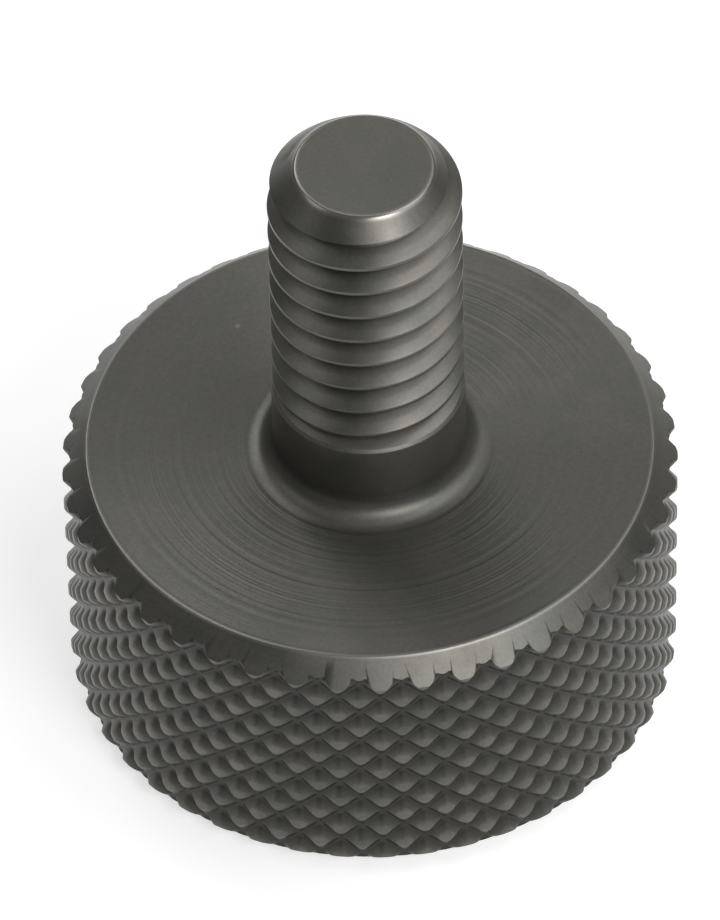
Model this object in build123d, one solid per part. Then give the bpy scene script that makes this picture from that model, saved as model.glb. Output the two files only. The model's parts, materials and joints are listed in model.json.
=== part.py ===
from build123d import *
from math import ceil, cos, pi, radians, sin, tan
import os

# Knurled thumb screw, turned in one piece: a wide round head with a diamond knurl on its side and a
# threaded stud out of the middle of one face. It stands on its head, with the origin at the centre
# of the head's flat end and +Z along the axis towards the thread's tip. All lengths are millimetres.

# Head
head_diameter = 25.4      # over the knurl's crests
head_height = 12.5
head_chamfer = 1.0        # 45 degree break on both edges, measured from the crests

# Diamond knurl: two families of grooves that cross on the head's side and leave pyramids
knurl_count = 45          # grooves of each hand around the head
knurl_angle = 45.0        # between a groove and the axis, in degrees
knurl_depth = 0.45        # from crest to groove bottom

# Stud
stud_length = 16.5        # from the head's face to the tip
neck_diameter = 7.95      # plain part below the thread
neck_length = 3.65        # from the head's face to the start of the thread's run-out
neck_fillet = 1.0         # between the head's face and the neck
tip_chamfer = 1.15        # 45 degree lead on the tip

# Thread, right hand, 5/16 inch nominal
thread_diameter = 7.88    # over the crests
threads_per_inch = 18
thread_angle = 60.0       # between the flanks, in degrees
thread_depth_ratio = 0.6134   # depth as a share of the pitch
thread_crest_ratio = 0.125    # flat on the crest as a share of the pitch
thread_runout = 1.5       # length of the cone on which the groove fades into the neck
thread_facets = 36        # flat facets in one turn
thread_overlap = 0.09     # how far the ridge and the cone reach into what carries them

# Worked out from the sizes above
head_radius = head_diameter / 2
knurl_root_radius = head_radius - knurl_depth
knurl_columns = 2 * knurl_count
knurl_step = 2 * pi / knurl_columns
knurl_rise = head_radius * knurl_step / tan(radians(knurl_angle))
neck_radius = neck_diameter / 2
thread_radius = thread_diameter / 2
thread_pitch = 25.4 / threads_per_inch
thread_depth = thread_depth_ratio * thread_pitch
core_radius = thread_radius - thread_depth
tip_radius = thread_radius - tip_chamfer
thread_start = head_height + neck_length
tip_height = head_height + stud_length
ridge_start = thread_start - thread_pitch
core_start = ridge_start - thread_pitch
core_end = tip_height + 2 * thread_pitch


def polar_point(radius, angle, height):
    return Vector(radius * cos(angle), radius * sin(angle), height)


def plane_face(*corners):
    return Face(Wire.make_polygon(corners, close=True))


def knurl_point(column, row):
    """Corner of the knurl's lattice: crests and groove crossings take turns, as on a chessboard."""
    on_crest = (column + row) % 2 == 1
    radius = head_radius if on_crest else knurl_root_radius
    return polar_point(radius, column * knurl_step, head_height / 2 + row * knurl_rise)


def knurled_bar():
    """Bar with the knurl all along it, a little longer than the head."""
    last_row = ceil(head_height / 2 / knurl_rise)
    faces = []
    for row in range(-last_row, last_row + 1):
        for column in range(knurl_columns):
            if (column + row) % 2 == 0:
                continue
            crest = knurl_point(column, row)
            sides = [knurl_point(column - 1, row), knurl_point(column + 1, row)]
            ends = [knurl_point(column, end) for end in (row - 1, row + 1) if abs(end) <= last_row]
            faces += [plane_face(crest, side, end) for side in sides for end in ends]
    for row in (-last_row, last_row):
        faces.append(plane_face(*[knurl_point(column, row) for column in range(knurl_columns)]))
    return Solid(Shell(faces))


def turned_blank():
    """Head before knurling, with one facet for each knurl column so that they meet in straight
    edges. Between its two chamfers it is wider than the knurl."""
    face_radius = head_radius - head_chamfer
    clear = 2 * head_chamfer
    outline = [
        (face_radius, 0),
        (face_radius + clear, clear),
        (face_radius + clear, head_height - clear),
        (face_radius, head_height),
    ]
    rings = []
    for radius, height in outline:
        angles = [(column + 0.5) * knurl_step for column in range(knurl_columns + 1)]
        rings.append([polar_point(radius, angle, height) for angle in angles])
    faces = [plane_face(*rings[0][:-1]), plane_face(*rings[-1][:-1])]
    for below, above in zip(rings, rings[1:]):
        for column in range(knurl_columns):
            here, after = column, column + 1
            faces.append(plane_face(below[here], below[after], above[after], above[here]))
    return Solid(Shell(faces))


def ridge_point(segment, place):
    """Corner of the thread's section, counted from its lower root, at one step along the helix."""
    crest_half = thread_crest_ratio * thread_pitch / 2
    base_radius = core_radius - thread_overlap
    base_half = crest_half + (thread_radius - base_radius) * tan(radians(thread_angle / 2))
    section = [
        (base_radius, -base_half),
        (thread_radius, -crest_half),
        (thread_radius, crest_half),
        (base_radius, base_half),
    ]
    radius, offset = section[place]
    turns = segment / thread_facets
    return polar_point(radius, 2 * pi * turns, ridge_start + turns * thread_pitch + offset)


def thread_ridge():
    """Helical ridge from inside the neck to past the tip."""
    last = ceil((core_end - ridge_start) / thread_pitch - 1) * thread_facets
    faces = [plane_face(*[ridge_point(end, place) for place in range(4)]) for end in (0, last)]
    for segment in range(last):
        here = [ridge_point(segment, place) for place in range(4)]
        after = [ridge_point(segment + 1, place) for place in range(4)]
        faces.append(plane_face(here[1], here[2], after[2], after[1]))
        faces.append(plane_face(here[3], here[0], after[0], after[3]))
        for low, high in ((0, 1), (2, 3)):
            faces.append(plane_face(here[low], here[high], after[high]))
            faces.append(plane_face(here[low], after[high], after[low]))
    return Solid(Shell(faces))


def threaded_end():
    """Core and ridge, sunk in the neck at one end and with the lead on the other."""
    angles = [2 * pi * segment / thread_facets for segment in range(thread_facets)]
    core_outline = Polyline(*[polar_point(core_radius, angle, core_start) for angle in angles], close=True)
    core = extrude(make_face(core_outline), amount=core_end - core_start, dir=(0, 0, 1))
    sunk_radius = neck_radius - thread_overlap
    clear = 2 * tip_chamfer
    limits = Polyline(
        (0, core_start),
        (sunk_radius, core_start),
        (sunk_radius, thread_start),
        (sunk_radius + clear, thread_start + clear),
        (sunk_radius + clear, tip_height - clear),
        (tip_radius + clear, tip_height - clear),
        (tip_radius, tip_height),
        (0, tip_height),
        close=True,
    )
    return (core + thread_ridge()) & revolve(Plane.XZ * make_face(limits), Axis.Z)


def turned_neck():
    """Fillet, plain neck and the cone on which the thread runs out."""
    face_end = (neck_radius + neck_fillet, head_height)
    neck_foot = (neck_radius, head_height + neck_fillet)
    pull = 0.5523 * neck_fillet   # makes the cubic curve follow a quarter circle
    outline = [
        Line((0, head_height), face_end),
        Bezier(
            face_end,
            (face_end[0] - pull, face_end[1]),
            (neck_foot[0], neck_foot[1] - pull),
            neck_foot,
        ),
        Polyline(
            neck_foot,
            (neck_radius, thread_start),
            (core_radius - thread_overlap, thread_start + thread_runout),
            (0, thread_start + thread_runout),
            (0, head_height),
        ),
    ]
    return revolve(Plane.XZ * make_face(outline), Axis.Z)


head = knurled_bar() & turned_blank()
thumb_screw = head + (threaded_end() + turned_neck())

os.makedirs("parts", exist_ok=True)
export_step(thumb_screw, "parts/thumb_screw.step")
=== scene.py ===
import json
from math import cos, pi, radians, sin, sqrt, tan

import bpy
from mathutils import Matrix, Vector


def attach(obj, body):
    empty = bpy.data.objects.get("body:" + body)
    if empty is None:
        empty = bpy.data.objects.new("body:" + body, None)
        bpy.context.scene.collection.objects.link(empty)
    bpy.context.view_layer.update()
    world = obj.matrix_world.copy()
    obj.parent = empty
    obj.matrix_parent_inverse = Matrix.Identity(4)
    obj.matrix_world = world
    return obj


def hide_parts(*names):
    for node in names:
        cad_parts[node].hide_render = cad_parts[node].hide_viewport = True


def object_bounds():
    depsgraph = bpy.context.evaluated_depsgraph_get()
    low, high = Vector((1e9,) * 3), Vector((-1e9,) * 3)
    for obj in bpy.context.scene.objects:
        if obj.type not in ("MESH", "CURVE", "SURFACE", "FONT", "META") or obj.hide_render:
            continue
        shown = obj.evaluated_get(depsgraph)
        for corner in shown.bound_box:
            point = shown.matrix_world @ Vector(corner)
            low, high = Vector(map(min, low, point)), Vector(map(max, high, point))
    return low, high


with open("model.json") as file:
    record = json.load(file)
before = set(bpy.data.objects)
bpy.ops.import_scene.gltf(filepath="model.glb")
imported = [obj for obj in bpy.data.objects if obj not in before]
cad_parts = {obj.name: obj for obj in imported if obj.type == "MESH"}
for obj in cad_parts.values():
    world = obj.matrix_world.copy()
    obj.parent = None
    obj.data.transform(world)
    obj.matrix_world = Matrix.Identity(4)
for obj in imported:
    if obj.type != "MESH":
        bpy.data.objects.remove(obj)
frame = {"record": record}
cadLow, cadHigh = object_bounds()
mm = 0.001
seam = 0.001 * mm    # vertices closer than this are one
mounts = {mount["name"]: mount for mount in frame["record"]["mounts"]}
print("frame loaded, box", [round(value / mm, 2) for value in (*cadLow, *cadHigh)], "mm")


# Sizes that the pieces share, read from the frame
screw = {
    'headRadius': min(cadHigh.x, cadHigh.y),   # the knurl's crests reach it in every direction
    'headHeight': mounts["seat"]["pos_m"][2],
    'headChamfer': 1.0 * mm,          # 45 degree break on both edges
    'tipHeight': mounts["thread"]["pos_m"][2],
    'threadRadius': mounts["thread"]["dims"]["r_mm"] * mm,
    'pitch': 25.4 * mm / 18,          # 18 threads to the inch
    'neckRadius': mounts["neck"]["dims"]["r_mm"] * mm,
    'neckTop': mounts["thread"]["pos_m"][2] - mounts["thread"]["dims"]["length_mm"] * mm,
}


def activate(piece):
    bpy.ops.object.select_all(action='DESELECT')
    piece.select_set(True)
    bpy.context.view_layer.objects.active = piece


def editMode(piece):
    activate(piece)
    bpy.ops.object.mode_set(mode='EDIT')


def objectMode():
    bpy.ops.object.mode_set(mode='OBJECT')


def applyModifier(piece, kind, **settings):
    activate(piece)
    modifier = piece.modifiers.new(kind.title(), kind)
    for setting, value in settings.items():
        setattr(modifier, setting, value)
    bpy.ops.object.modifier_apply(modifier=modifier.name)


def bakePlace(piece):
    # the place goes into the mesh, so the object stays at the origin
    activate(piece)
    bpy.ops.object.transform_apply(location=True, rotation=True, scale=True)


def boolean(piece, cutter, operation):
    applyModifier(piece, 'BOOLEAN', operation=operation, object=cutter, solver='EXACT')
    bpy.data.objects.remove(cutter)


def rounded(before, corner, after, radius, segments=4):
    # points of the arc that takes a corner off, each point as (radius, height)
    corner = Vector(corner)
    first = (Vector(before) - corner).normalized()
    second = (Vector(after) - corner).normalized()
    halfAngle = first.angle(second) / 2
    back = radius / tan(halfAngle)
    centre = corner + (first + second).normalized() * radius / sin(halfAngle)
    start, end = corner + first * back - centre, corner + second * back - centre
    turn = start.angle(end)
    points = []
    for step in range(segments + 1):
        share = step / segments
        spoke = (start * sin((1 - share) * turn) + end * sin(share * turn)) / sin(turn)
        points.append(tuple(centre + spoke))
    return points


def drawChain(name, profile):
    # one vertex is extruded from point to point of the profile, in the XZ plane; stays in edit mode
    bpy.ops.object.select_all(action='DESELECT')
    bpy.ops.mesh.primitive_plane_add(size=1 * mm)
    piece = bpy.context.object
    piece.name = name
    bpy.ops.object.mode_set(mode='EDIT')
    bpy.ops.mesh.select_all(action='SELECT')
    bpy.ops.mesh.merge(type='CENTER')
    bpy.ops.transform.translate(value=(profile[0][0], 0, profile[0][1]))
    for here, after in zip(profile, profile[1:]):
        move = (after[0] - here[0], 0, after[1] - here[1])
        bpy.ops.mesh.extrude_region_move(TRANSFORM_OT_translate={"value": move})
    return piece


def turned(name, profile, steps):
    # the profile is spun round the axis
    piece = drawChain(name, profile)
    bpy.ops.mesh.select_all(action='SELECT')
    bpy.ops.mesh.spin(steps=steps, angle=2 * pi, center=(0, 0, 0), axis=(0, 0, 1))
    bpy.ops.mesh.select_all(action='SELECT')
    bpy.ops.mesh.remove_doubles(threshold=seam / 2)
    bpy.ops.mesh.normals_make_consistent(inside=False)
    objectMode()
    return piece


# Head: a bar with a diamond knurl, cut to shape by a blank of the head and neck
knurl = {
    'columns': 45,               # grooves of each hand round the head
    'depth': 0.34 * mm,
    'toothAngle': 90,            # between the flanks of a groove, in degrees
    'grooveRadius': 0.12 * mm,   # at the bottom of a groove
    'crestRadius': 0.10 * mm,    # round the flat on top of a diamond
    'cornerBreak': 0.13 * mm,    # on the four corner edges of a diamond
    'turn': 0.76,                # of half a column, that the pattern is turned by to sit as photographed
    'rowsBelow': 8,              # rows of diamonds below the head's middle
    'rowsAbove': 9,
    'barBelow': 0.4 * mm,        # how far the bar reaches past the head's ends before it is turned
    'barAbove': 0.7 * mm,
}


def knurlTile():
    # One diamond, flat, facing -Y, with its crest at y = 0. It stays inside half the groove spacing.
    step = pi / knurl['columns']
    halfWidth = screw['headRadius'] * step
    reach = halfWidth / sqrt(2)                      # from the crest's middle to a groove's middle
    slope = radians(90 - knurl['toothAngle'] / 2)    # of a flank, from the surface
    grooveRun = knurl['grooveRadius'] * sin(slope)
    grooveRise = knurl['grooveRadius'] * (1 - cos(slope))
    halfGrooveRun = knurl['grooveRadius'] * sin(slope / 2)
    halfGrooveRise = knurl['grooveRadius'] * (1 - cos(slope / 2))
    land = reach - grooveRun - (knurl['depth'] - grooveRise) / tan(slope)
    crestBack = knurl['crestRadius'] * tan(slope / 2)
    rings = [                                        # distance from the middle, height over the groove
        (reach, 0),
        (reach - halfGrooveRun, halfGrooveRise),
        (reach - grooveRun, grooveRise),
        (land + crestBack * cos(slope), knurl['depth'] - crestBack * sin(slope)),
        (land - crestBack, knurl['depth']),
    ]
    bpy.ops.object.select_all(action='DESELECT')
    firstColumn = knurl['turn'] - 0.5 - (knurl['columns'] - 1)
    firstRow = screw['headHeight'] / 2 - knurl['rowsBelow'] * halfWidth
    bpy.ops.mesh.primitive_circle_add(vertices=4, radius=halfWidth, fill_type='NGON',
                                      rotation=(pi / 2, 0, 0))
    tile = bpy.context.object
    tile.name = "head_knurl"
    bakePlace(tile)
    bpy.ops.object.mode_set(mode='EDIT')
    bpy.ops.mesh.select_all(action='SELECT')
    bpy.ops.transform.translate(value=(0, knurl['depth'], 0))
    for outer, inner in zip(rings, rings[1:]):
        bpy.ops.mesh.inset(thickness=outer[0] - inner[0], depth=inner[1] - outer[1])
    bpy.ops.mesh.select_all(action='DESELECT')
    bpy.ops.mesh.select_mode(type='EDGE')
    objectMode()
    outside = rings[1][0] * sqrt(2) + seam
    for edge in tile.data.edges:                     # the corner edges, without their outer ends
        ends = [tile.data.vertices[index].co for index in edge.vertices]
        onDiagonal = all(abs(end.x) < seam for end in ends) or all(abs(end.z) < seam for end in ends)
        inside = all(max(abs(end.x), abs(end.z)) < outside for end in ends)
        edge.select = onDiagonal and inside
    bpy.ops.object.mode_set(mode='EDIT')
    bpy.ops.mesh.bevel(offset=knurl['cornerBreak'], segments=2, affect='EDGES')
    bpy.ops.mesh.select_mode(type='VERT')
    bpy.ops.mesh.select_all(action='SELECT')
    bpy.ops.transform.translate(value=(firstColumn * halfWidth, 0, firstRow))
    objectMode()
    return tile, halfWidth


def knurledBar():
    tile, halfWidth = knurlTile()
    rows = knurl['rowsBelow'] + knurl['rowsAbove'] + 1
    for count, move in (
        (knurl['columns'], (2 * halfWidth, 0, 0)),
        (2, (halfWidth, 0, halfWidth)),
        (rows // 2, (0, 0, 2 * halfWidth)),
    ):
        applyModifier(tile, 'ARRAY', count=count, use_relative_offset=False, use_constant_offset=True,
                      constant_offset_displace=move)
    # the flat sheet is half a column longer than one turn, so its two slanting ends meet
    applyModifier(tile, 'SIMPLE_DEFORM', deform_method='BEND', deform_axis='Z',
                  angle=(2 * knurl['columns'] + 1) * pi / knurl['columns'])
    editMode(tile)
    bpy.ops.mesh.select_all(action='SELECT')
    bpy.ops.transform.translate(value=(0, -screw['headRadius'], 0))
    bpy.ops.mesh.remove_doubles(threshold=seam)
    # Each end is cut level, drawn out and closed at the axis. Above, it is drawn out past the tip, so
    # that the blank keeps its neck. The cut's own threshold would take in vertices 0.1 mm away.
    for height, outward in (
        (-knurl['barBelow'], -knurl['barBelow']),
        (screw['headHeight'] + knurl['barAbove'], screw['tipHeight'] - screw['headHeight']),
    ):
        bpy.ops.mesh.select_mode(type='EDGE')
        bpy.ops.mesh.select_all(action='SELECT')
        bpy.ops.mesh.bisect(plane_co=(0, 0, height), plane_no=(0, 0, outward / abs(outward)),
                            clear_outer=True, threshold=seam / 10)
        bpy.ops.mesh.extrude_region_move(TRANSFORM_OT_translate={"value": (0, 0, outward)})
        bpy.ops.mesh.extrude_region_move(TRANSFORM_OT_translate={"value": (0, 0, 0)})
        bpy.ops.mesh.merge(type='CENTER')
    bpy.ops.mesh.select_all(action='SELECT')
    # on this bar the recalculation leaves the faces pointing in, so they are turned over after it
    bpy.ops.mesh.normals_make_consistent(inside=False)
    bpy.ops.mesh.flip_normals()
    bpy.ops.mesh.select_mode(type='VERT')
    objectMode()
    return tile


blank = {
    'steps': 192,                # facets in a turn
    'edgeRadius': 0.09 * mm,     # where a face meets its chamfer
    'filletRadius': 1.0 * mm,    # between the seat and the neck
    'neckBevel': 0.12 * mm,      # 45 degree break at the neck's upper end
    'neckEdge': 0.05 * mm,       # rounding of that break
    'runout': 0.62 * mm,         # height of the step on which the thread fades
    'support': 0.06 * mm,        # rings beside the rounded edges that keep the flats flat
}


def turnedBlank():
    faceRadius = screw['headRadius'] - screw['headChamfer']
    clear = 2 * screw['headChamfer']
    top, neckRadius, fillet = screw['headHeight'], screw['neckRadius'], blank['filletRadius']
    support, edge = blank['support'], blank['edgeRadius']
    flatReach = faceRadius - edge * tan(radians(22.5)) - support
    chamferReach = edge * sin(radians(22.5)) + support
    coneRadius = screw['threadRadius'] - thread['depth'] - thread['sunk']
    coneEnd = (coneRadius, screw['neckTop'] + blank['runout'])
    lowChamfer, highChamfer = (faceRadius + clear, clear), (faceRadius + clear, top - clear)
    neckCorner = (neckRadius, screw['neckTop'])
    bevelEnd = (neckRadius - blank['neckBevel'], screw['neckTop'] + blank['neckBevel'])
    profile = [(0, 0), (flatReach, 0)]
    profile += rounded((0, 0), (faceRadius, 0), lowChamfer, edge)
    profile += [(faceRadius + chamferReach, chamferReach), lowChamfer, highChamfer]
    profile += [(faceRadius + chamferReach, top - chamferReach)]
    profile += rounded(highChamfer, (faceRadius, top), (0, top), edge)
    profile += [(flatReach, top), (neckRadius + fillet + support, top)]
    profile += rounded((faceRadius, top), (neckRadius, top), neckCorner, fillet, 10)
    profile += [(neckRadius, top + fillet + support)]
    profile += rounded((neckRadius, top), neckCorner, bevelEnd, blank['neckEdge'], 3)
    profile += rounded(neckCorner, bevelEnd, coneEnd, blank['neckEdge'], 3)
    profile += [coneEnd, (0, coneEnd[1])]
    return turned("turned_blank", profile, blank['steps'])


# Stud: a helical groove and ridge, trimmed by the lead on the tip
thread = {
    'steps': 96,                 # facets in a turn
    'turns': 11,
    'angle': 60,                 # between the flanks, in degrees
    'depth': 0.6134 * screw['pitch'],
    'crest': 0.125 * screw['pitch'],
    'crestRadius': 0.04 * mm,
    'tipChamfer': 1.15 * mm,     # 45 degree lead
    'tipEdge': 0.18 * mm,
    'sunk': 0.09 * mm,           # how far the ridge stays below the neck where they join
    'overlap': 0.55 * mm,        # how far the stud reaches into the neck
}


def threadedStud():
    pitch, outer = screw['pitch'], screw['threadRadius']
    half = radians(thread['angle'] / 2)
    halfCrest = thread['crest'] / 2
    rootLevel = outer - thread['depth']
    halfRoot = pitch / 2 - halfCrest - thread['depth'] * tan(half)
    rootRadius = halfRoot / tan(half)                # a round root that touches both flanks
    centre = rootLevel + rootRadius
    crestLow, crestHigh = (outer, -halfCrest), (outer, halfCrest)
    rootSteps = 4
    rootArc = [(centre - rootRadius * cos(step / rootSteps * (pi / 2 - half)),
                rootRadius * sin(step / rootSteps * (pi / 2 - half))) for step in range(rootSteps + 1)]
    flankFoot = (rootArc[-1][0], -pitch / 2 + rootArc[-1][1])
    profile = [(radius, -pitch / 2 + rise) for radius, rise in rootArc]
    profile += rounded(flankFoot, crestLow, crestHigh, thread['crestRadius'], 2)
    profile += rounded(crestLow, crestHigh, (flankFoot[0], -flankFoot[1]), thread['crestRadius'], 2)
    profile += [(radius, pitch / 2 - rise) for radius, rise in reversed(rootArc)]
    start = screw['neckTop'] - pitch                 # height of the crest at azimuth 0
    stud = drawChain("threaded_stud", [(radius, start + height) for radius, height in profile])
    objectMode()
    applyModifier(stud, 'SCREW', angle=2 * pi, screw_offset=pitch, iterations=thread['turns'],
                  steps=thread['steps'], render_steps=thread['steps'])
    editMode(stud)
    bpy.ops.mesh.select_all(action='SELECT')
    bpy.ops.mesh.remove_doubles(threshold=seam)
    for end in (-1, 1):                              # both open ends are drawn in to the axis
        bpy.ops.mesh.select_all(action='DESELECT')
        bpy.ops.mesh.select_mode(type='EDGE')
        bpy.ops.mesh.select_non_manifold(extend=False, use_wire=False, use_multi_face=False,
                                         use_non_contiguous=False, use_verts=False)
        objectMode()
        middle = start + thread['turns'] * pitch / 2
        for edge in stud.data.edges:
            height = stud.data.vertices[edge.vertices[0]].co.z
            if (height - middle) * end < 0:
                edge.select = False
        for vertex in stud.data.vertices:
            vertex.select = False
        for edge in stud.data.edges:
            if edge.select:
                for index in edge.vertices:
                    stud.data.vertices[index].select = True
        bpy.ops.object.mode_set(mode='EDIT')
        bpy.ops.mesh.extrude_region_move(TRANSFORM_OT_translate={"value": (0, 0, 0)})
        bpy.ops.mesh.merge(type='CENTER')
    bpy.ops.mesh.select_all(action='SELECT')
    bpy.ops.mesh.normals_make_consistent(inside=False)
    bpy.ops.mesh.select_mode(type='VERT')
    objectMode()
    return stud


def studLimits():
    clear = 2 * thread['tipChamfer']
    sunkRadius = screw['neckRadius'] - thread['sunk']
    bottom, neckTop, tip = screw['neckTop'] - thread['overlap'], screw['neckTop'], screw['tipHeight']
    tipRadius = screw['threadRadius'] - thread['tipChamfer']
    support, edge = blank['support'], thread['tipEdge']
    leadFoot = (tipRadius + clear, tip - clear)
    leadReach = edge * sin(radians(22.5)) + support
    profile = [(0, bottom), (sunkRadius, bottom), (sunkRadius, neckTop)]
    profile += [(sunkRadius + clear, neckTop + clear), leadFoot, (tipRadius + leadReach, tip - leadReach)]
    profile += rounded(leadFoot, (tipRadius, tip), (0, tip), edge)
    profile += [(tipRadius - edge * tan(radians(22.5)) - support, tip), (0, tip)]
    return turned("stud_limits", profile, blank['steps'])


def countOpenEdges(piece):
    uses = {}
    for polygon in piece.data.polygons:
        for key in polygon.edge_keys:
            uses[key] = uses.get(key, 0) + 1
    return sum(1 for count in uses.values() if count != 2)


head = knurledBar()
print("knurled bar:", len(head.data.polygons), "faces,", countOpenEdges(head), "open edges")
boolean(head, turnedBlank(), 'INTERSECT')
print("head turned:", len(head.data.polygons), "faces,", countOpenEdges(head), "open edges")
stud = threadedStud()
print("thread:", len(stud.data.polygons), "faces,", countOpenEdges(stud), "open edges")
boolean(stud, studLimits(), 'INTERSECT')
print("stud trimmed:", len(stud.data.polygons), "faces,", countOpenEdges(stud), "open edges")
boolean(head, stud, 'UNION')
head.name = "thumb_screw_dressed"
print("joined:", len(head.data.polygons), "faces,", countOpenEdges(head), "open edges")
activate(head)
bpy.ops.object.shade_smooth_by_angle(angle=radians(32))
print("triangles:", sum(len(polygon.vertices) - 2 for polygon in head.data.polygons))


# Finish: black oxide, with a material for each way that the steel was worked
finishes = {
    'lightTint': (0.102, 0.097, 0.086, 1),   # brownish patches of the oxide
    'darkTint': (0.089, 0.090, 0.081, 1),    # greenish patches
    'wornTint': (0.23, 0.22, 0.20, 1),       # steel that shows through on crests and edges; on turned edges it is partly a painted highlight
    'wornRoughness': 0.22,
    'metallic': 0.8,                         # the oxide itself scatters a little light
    'patchesPerMm': 0.45,
    'grainPerMm': 7.0,
    'nickPlace': (-5.37 * mm, 6.61 * mm, 12.5 * mm),   # small bright mark on the seat
    'nickRadius': 0.16 * mm,
    # each material's tone lightens or darkens the same oxide to how lit its region looks: painted light and
    # shade
    'seat': {       # the flat round the stud, and the chamfers
        'tone': 1.04, 'roughness': 0.40, 'anisotropy': 0.7, 'ringsPerMm': 3.6, 'ringDepth': 0.011 * mm,
        'grainDepth': 0.0006 * mm,
        # lighter ring on the face's outer edge: partly wear, partly a painted highlight
        'edge': (11.70 * mm, 12.50 * mm), 'edgeWidth': 0.16 * mm, 'edgeWear': 0.5,
    },
    'neck': {       # with the fillet at its foot
        'tone': 1.05, 'roughness': 0.44, 'anisotropy': 0.3, 'ringsPerMm': 3.0, 'ringDepth': 0.006 * mm,
        'grainDepth': 0.002 * mm,
    },
    'knurled': {    # side of the head
        'tone': 0.98, 'roughness': 0.40, 'anisotropy': 0.1, 'ringsPerMm': 2.0, 'ringDepth': 0.0008 * mm,
        # grooveShade darkens the grooves: partly oil, partly painted shade
        'grainDepth': 0.004 * mm, 'grooveRadius': 12.34 * mm, 'crestRadius': 12.64 * mm,
        'grooveShade': 0.45, 'wear': 0.3,
    },
    'threaded': {
        'tone': 1.15, 'roughness': 0.40, 'anisotropy': 0.25, 'ringsPerMm': 3.0, 'ringDepth': 0.003 * mm,
        'grainDepth': 0.0010 * mm, 'grooveRadius': 3.1 * mm, 'crestRadius': 3.6 * mm,
        'grooveShade': 0.6, 'wear': 0.2,
    },
    'lead': {       # cone at the tip
        'tone': 1.05, 'roughness': 0.38, 'anisotropy': 0.25, 'ringsPerMm': 3.0, 'ringDepth': 0.003 * mm,
        'grainDepth': 0.0010 * mm,
        # lighter ring on the tip's rim: partly wear, partly a painted highlight
        'edge': (2.84 * mm, 28.96 * mm), 'edgeWidth': 0.22 * mm, 'edgeWear': 0.8,
    },
    'tip': {        # flat end of the stud
        'tone': 1.0, 'roughness': 0.44, 'anisotropy': 0.1, 'ringsPerMm': 3.0, 'ringDepth': 0.004 * mm,
        'grainDepth': 0.0010 * mm,
        # lighter ring on the tip's rim: partly wear, partly a painted highlight
        'edge': (2.84 * mm, 28.96 * mm), 'edgeWidth': 0.22 * mm, 'edgeWear': 0.8,
    },
}


def addNode(material, kind, place, inputs=(), **settings):
    # inputs are (socket, value or output of another node)
    node = material.node_tree.nodes.new(kind)
    node.location = place
    for setting, value in settings.items():
        setattr(node, setting, value)
    for socket, value in inputs:
        if isinstance(value, bpy.types.NodeSocket):
            material.node_tree.links.new(value, node.inputs[socket])
        else:
            node.inputs[socket].default_value = value
    return node


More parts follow.
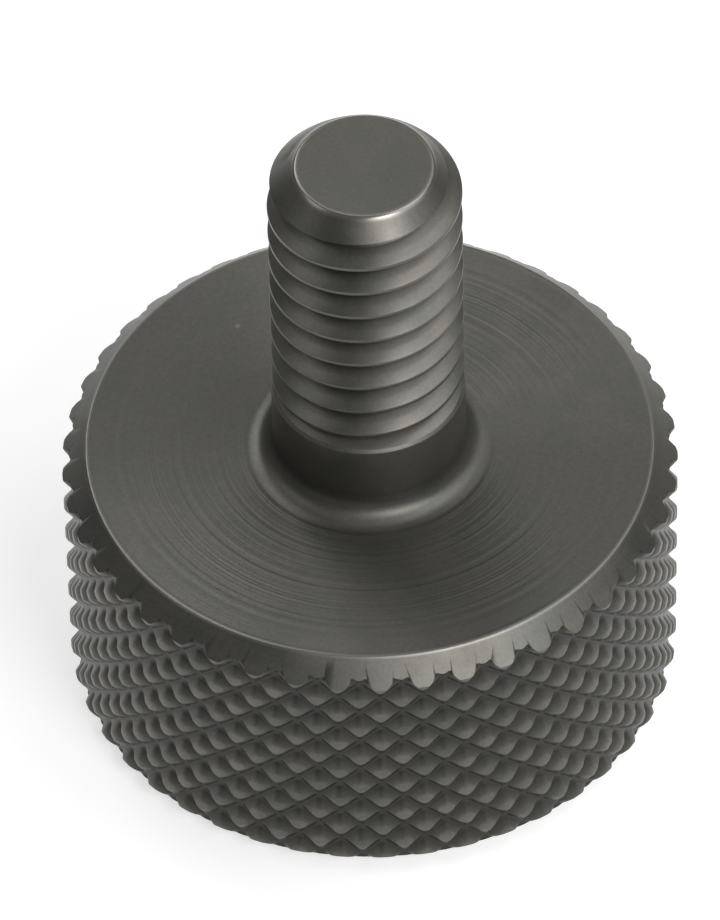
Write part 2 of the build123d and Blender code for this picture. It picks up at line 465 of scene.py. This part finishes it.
def blackOxide(name):
    finish = finishes[name]
    material = bpy.data.materials.new(name + "Oxide")
    material.use_nodes = True
    links = material.node_tree.links
    shader = material.node_tree.nodes["Principled BSDF"]
    shader.inputs['Metallic'].default_value = finishes['metallic']
    shader.inputs['Anisotropic'].default_value = finish['anisotropy']

    # place in millimetres, and the distance from the axis
    coordinates = addNode(material, 'ShaderNodeTexCoord', (-1900, 0))
    place = addNode(material, 'ShaderNodeVectorMath', (-1700, 0), operation='SCALE',
                    inputs=[(0, coordinates.outputs['Object']), ('Scale', 1 / mm)])
    flat = addNode(material, 'ShaderNodeVectorMath', (-1500, -200), operation='MULTIPLY',
                   inputs=[(0, place.outputs[0]), (1, (1, 1, 0))])
    radius = addNode(material, 'ShaderNodeVectorMath', (-1300, -200), operation='LENGTH',
                     inputs=[(0, flat.outputs[0])])
    split = addNode(material, 'ShaderNodeSeparateXYZ', (-1500, 100), inputs=[(0, place.outputs[0])])

    # oxide: brown and green patches, then a fine grain
    patches = addNode(material, 'ShaderNodeTexNoise', (-1300, 300),
                      inputs=[('Vector', place.outputs[0]), ('Scale', finishes['patchesPerMm']),
                              ('Detail', 5.0), ('Roughness', 0.6)])
    patchShare = addNode(material, 'ShaderNodeMapRange', (-1100, 300),
                         inputs=[('Value', patches.outputs['Fac']), ('From Min', 0.35), ('From Max', 0.65)])
    grain = addNode(material, 'ShaderNodeTexNoise', (-1300, 0),
                    inputs=[('Vector', place.outputs[0]), ('Scale', finishes['grainPerMm']),
                            ('Detail', 3.0), ('Roughness', 0.65)])
    tint = addNode(material, 'ShaderNodeMix', (-900, 300), data_type='RGBA',
                   inputs=[(0, patchShare.outputs[0]), (6, finishes['darkTint']),
                           (7, finishes['lightTint'])])
    # the grain is scaled by the material's tone, which paints light and shade region by region
    grainAndPaintedLight = addNode(material, 'ShaderNodeMapRange', (-1100, 0),
                         inputs=[('Value', grain.outputs['Fac']), ('From Min', 0.3), ('From Max', 0.7),
                                 ('To Min', 0.9 * finish['tone']), ('To Max', 1.1 * finish['tone'])])

    nickDistance = addNode(material, 'ShaderNodeVectorMath', (-1100, 550), operation='DISTANCE',
                           inputs=[(0, coordinates.outputs['Object']), (1, finishes['nickPlace'])])
    nickShare = addNode(material, 'ShaderNodeMapRange', (-900, 550), interpolation_type='SMOOTHSTEP',
                        inputs=[('Value', nickDistance.outputs['Value']), ('From Min', 0),
                                ('From Max', finishes['nickRadius']), ('To Min', 0.8), ('To Max', 0)])
    shade, wearAndHighlightShare = grainAndPaintedLight, nickShare
    if 'grooveRadius' in finish:     # grooves are painted darker, partly oil held in them and partly painted shade; crests are rubbed lighter
        height = addNode(material, 'ShaderNodeMapRange', (-1100, -200),
                         inputs=[('Value', radius.outputs['Value']),
                                 ('From Min', finish['grooveRadius'] / mm),
                                 ('From Max', finish['crestRadius'] / mm),
                                 ('To Min', finish['grooveShade'])])
        shade = addNode(material, 'ShaderNodeMath', (-900, 0), operation='MULTIPLY',
                        inputs=[(0, grainAndPaintedLight.outputs[0]), (1, height.outputs[0])])
        rubbed = addNode(material, 'ShaderNodeMapRange', (-900, -200),
                         inputs=[('Value', height.outputs[0]), ('From Min', 0.9), ('From Max', 1.0),
                                 ('To Max', finish['wear'])])
        rubbedShare = addNode(material, 'ShaderNodeMath', (-700, -200), operation='MULTIPLY',
                              inputs=[(0, rubbed.outputs[0]), (1, patchShare.outputs[0])])
        wearAndHighlightShare = addNode(material, 'ShaderNodeMath', (-500, 400), operation='MAXIMUM',
                            inputs=[(0, nickShare.outputs[0]), (1, rubbedShare.outputs[0])])
    if 'edge' in finish:             # a turned edge is painted lighter: partly rubbed wear, partly a painted highlight
        section = addNode(material, 'ShaderNodeCombineXYZ', (-1100, 750),
                          inputs=[('X', radius.outputs['Value']), ('Z', split.outputs['Z'])])
        edgePlace = (finish['edge'][0] / mm, 0, finish['edge'][1] / mm)
        edgeDistance = addNode(material, 'ShaderNodeVectorMath', (-900, 750), operation='DISTANCE',
                               inputs=[(0, section.outputs[0]), (1, edgePlace)])
        edgeShare = addNode(material, 'ShaderNodeMapRange', (-700, 750), interpolation_type='SMOOTHSTEP',
                            inputs=[('Value', edgeDistance.outputs['Value']), ('From Min', 0),
                                    ('From Max', finish['edgeWidth'] / mm),
                                    ('To Min', finish['edgeWear']), ('To Max', 0)])
        wearAndHighlightShare = addNode(material, 'ShaderNodeMath', (-400, 600), operation='MAXIMUM',
                            inputs=[(0, wearAndHighlightShare.outputs[0]), (1, edgeShare.outputs[0])])
    shaded = addNode(material, 'ShaderNodeVectorMath', (-700, 200), operation='SCALE',
                     inputs=[(0, tint.outputs[2]), ('Scale', shade.outputs[0])])
    colour = addNode(material, 'ShaderNodeMix', (-300, 300), data_type='RGBA',
                     inputs=[(0, wearAndHighlightShare.outputs[0]), (6, shaded.outputs[0]), (7, finishes['wornTint'])])
    links.new(colour.outputs[2], shader.inputs['Base Color'])

    # roughness follows the patches, and worn steel is smoother
    roughness = addNode(material, 'ShaderNodeMapRange', (-500, 0),
                        inputs=[('Value', patches.outputs['Fac']), ('From Min', 0.3), ('From Max', 0.7),
                                ('To Min', finish['roughness'] - 0.05),
                                ('To Max', finish['roughness'] + 0.05)])
    polished = addNode(material, 'ShaderNodeMix', (-300, 0), data_type='FLOAT',
                       inputs=[(0, wearAndHighlightShare.outputs[0]), (2, roughness.outputs[0]),
                               (3, finishes['wornRoughness'])])
    links.new(polished.outputs[0], shader.inputs['Roughness'])

    # turning lines run round the axis, so their height depends on radius and height alone
    lineSlant = addNode(material, 'ShaderNodeMath', (-1300, -450), operation='MULTIPLY_ADD',
                        inputs=[(0, split.outputs['Z']), (1, 1.37), (2, radius.outputs['Value'])])
    lines = addNode(material, 'ShaderNodeTexNoise', (-1100, -450), noise_dimensions='1D',
                    inputs=[('W', lineSlant.outputs[0]), ('Scale', finish['ringsPerMm']),
                            ('Detail', 2.5), ('Roughness', 0.6)])
    lineBump = addNode(material, 'ShaderNodeBump', (-500, -450),
                       inputs=[('Height', lines.outputs['Fac']), ('Distance', finish['ringDepth'])])
    grainBump = addNode(material, 'ShaderNodeBump', (-300, -450),
                        inputs=[('Height', grain.outputs['Fac']), ('Distance', finish['grainDepth']),
                                ('Normal', lineBump.outputs[0])])
    links.new(grainBump.outputs[0], shader.inputs['Normal'])
    tangent = addNode(material, 'ShaderNodeTangent', (-300, -250), direction_type='RADIAL', axis='Z')
    links.new(tangent.outputs['Tangent'], shader.inputs['Tangent'])
    return material


def dress(piece):
    names = ['seat', 'neck', 'knurled', 'threaded', 'lead', 'tip']
    piece.data.materials.clear()
    for name in names:
        piece.data.materials.append(blackOxide(name))
    slack = 0.02 * mm
    faceRadius = screw['headRadius'] - screw['headChamfer']
    filletEnd = screw['neckRadius'] + blank['filletRadius']
    leadFoot = screw['tipHeight'] - thread['tipChamfer']
    leadSum = screw['threadRadius'] + leadFoot       # radius and height added up, anywhere on the lead
    for polygon in piece.data.polygons:
        middle = polygon.center
        fromAxis = middle.xy.length
        fromEnd = min(middle.z, screw['headHeight'] - middle.z)
        onCone = abs(fromAxis - faceRadius - fromEnd) < slack
        finish = 'seat'
        if middle.z > screw['tipHeight'] - seam:
            finish = 'tip'
        elif middle.z > leadFoot and leadSum - fromAxis - middle.z < 4 * slack:
            finish = 'lead'
        elif middle.z > screw['neckTop'] + blank['neckBevel']:
            finish = 'threaded'
        elif fromAxis < filletEnd and middle.z > screw['headHeight'] + seam:
            finish = 'neck'
        elif fromAxis > faceRadius + slack and not onCone:
            finish = 'knurled'
        polygon.material_index = names.index(finish)


dress(head)
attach(head, "root")
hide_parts("thumb_screw")
print("finish set")


# Floor and light
studio = {
    'floorSize': 1.2,
    'floorColour': (0.5, 0.5, 0.5, 1),
    'backgroundGlow': 0.65,      # what the eye and the metal see on the floor over its own light
    'skyGloss': 0.15,            # how much of the white beyond the floor the metal shows
    'lampDistance': 0.5,
    'lampSize': 0.24,
    'lamps': {                   # round the object from +X, above the floor, and the white level it gives
        'frontRight': (300, 40, 0.57),
        'rightFront': (330, 40, 0.105),
        'right': (0, 40, 0.125),
        'rightHigh': (0, 65, 0.22),
        'rightBack': (30, 40, 0.075),
        'backRight': (60, 40, 0.08),
        'back': (90, 63, 0.105),
        'backLeft': (120, 40, 0.245),
        'left': (185, 42, 0.085),
    },
}


def makeFloor():
    bpy.ops.object.select_all(action='DESELECT')
    bpy.ops.mesh.primitive_plane_add(size=studio['floorSize'])
    floor = bpy.context.object
    floor.name = "studio_floor"
    material = bpy.data.materials.new("paleFloor")
    material.use_nodes = True
    shader = material.node_tree.nodes["Principled BSDF"]
    shader.inputs['Base Color'].default_value = studio['floorColour']
    shader.inputs['Roughness'].default_value = 0.9
    shader.inputs['Specular IOR Level'].default_value = 0
    shader.inputs['Emission Color'].default_value = (1, 1, 1, 1)
    path = addNode(material, 'ShaderNodeLightPath', (-700, -200))
    seen = addNode(material, 'ShaderNodeMath', (-500, -200), operation='MAXIMUM',
                   inputs=[(0, path.outputs['Is Camera Ray']), (1, path.outputs['Is Transmission Ray'])])
    mirrored = addNode(material, 'ShaderNodeMath', (-400, -300), operation='MAXIMUM',
                       inputs=[(0, seen.outputs[0]), (1, path.outputs['Is Glossy Ray'])])
    glow = addNode(material, 'ShaderNodeMath', (-300, -200), operation='MULTIPLY',
                   inputs=[(0, mirrored.outputs[0]), (1, studio['backgroundGlow'])])
    material.node_tree.links.new(glow.outputs[0], shader.inputs['Emission Strength'])
    floor.data.materials.append(material)


def makeLamps():
    middle = Vector((0, 0, screw['headHeight']))
    for name, (azimuth, elevation, level) in studio['lamps'].items():
        turn, rise = radians(azimuth), radians(elevation)
        outward = Vector((cos(turn) * cos(rise), sin(turn) * cos(rise), sin(rise)))
        bpy.ops.object.light_add(type='AREA', location=middle + outward * studio['lampDistance'])
        lamp = bpy.context.object
        lamp.name = name
        lamp.data.shape = 'DISK'
        lamp.data.size = studio['lampSize']
        lamp.data.energy = level * (pi * studio['lampDistance']) ** 2   # watts for that white level
        lamp.rotation_euler = (-outward).to_track_quat('-Z', 'Y').to_euler()
    world = bpy.data.worlds.new("studioWorld")
    world.use_nodes = True
    background = world.node_tree.nodes["Background"]
    background.inputs['Color'].default_value = (1, 1, 1, 1)
    path = addNode(world, 'ShaderNodeLightPath', (-700, 0))
    seen = addNode(world, 'ShaderNodeMath', (-500, 0), operation='MAXIMUM',
                   inputs=[(0, path.outputs['Is Camera Ray']), (1, path.outputs['Is Transmission Ray'])])
    strength = addNode(world, 'ShaderNodeMath', (-300, 0), operation='MULTIPLY_ADD',
                       inputs=[(0, path.outputs['Is Glossy Ray']), (1, studio['skyGloss']),
                               (2, seen.outputs[0])])
    world.node_tree.links.new(strength.outputs[0], background.inputs['Strength'])
    bpy.context.scene.world = world


makeFloor()
makeLamps()
print("studio lit")


# Camera, fitted to the photograph's frame of 720 by 920 pixels
view = {
    'elevation': radians(48.3),
    'distance': 450 * mm,
    'target': (0, 0, 8.893 * mm),
    'pixelsPerUnit': 10869.3,    # focal length in pixels
    'imageHeight': 920,
    'targetRight': 9.94,         # the target's place from the middle of the picture, in pixels
    'targetBelow': 40.04,
    'lean': -0.022,              # the upright leans this far, in radians
}


def makeCamera():
    elevation, distance = view['elevation'], view['distance']
    back = Vector((0, -cos(elevation), sin(elevation)))
    up = Vector((0, sin(elevation), cos(elevation)))
    target = Vector(view['target'])
    aim = target + (up * view['targetBelow'] - Vector((1, 0, 0)) * view['targetRight']) \
        * distance / view['pixelsPerUnit']
    location = target + back * distance
    bpy.ops.object.camera_add(location=location)
    camera = bpy.context.object
    turn = (aim - location).to_track_quat('-Z', 'Y').to_matrix() @ Matrix.Rotation(view['lean'], 3, 'Z')
    camera.rotation_euler = turn.to_euler()
    camera.data.sensor_width = 36
    camera.data.lens = view['pixelsPerUnit'] * camera.data.sensor_width / view['imageHeight']
    camera.data.clip_start, camera.data.clip_end = 0.01, 10
    bpy.context.scene.camera = camera


makeCamera()
bpy.context.scene.view_settings.view_transform = 'Standard'
print("camera placed")
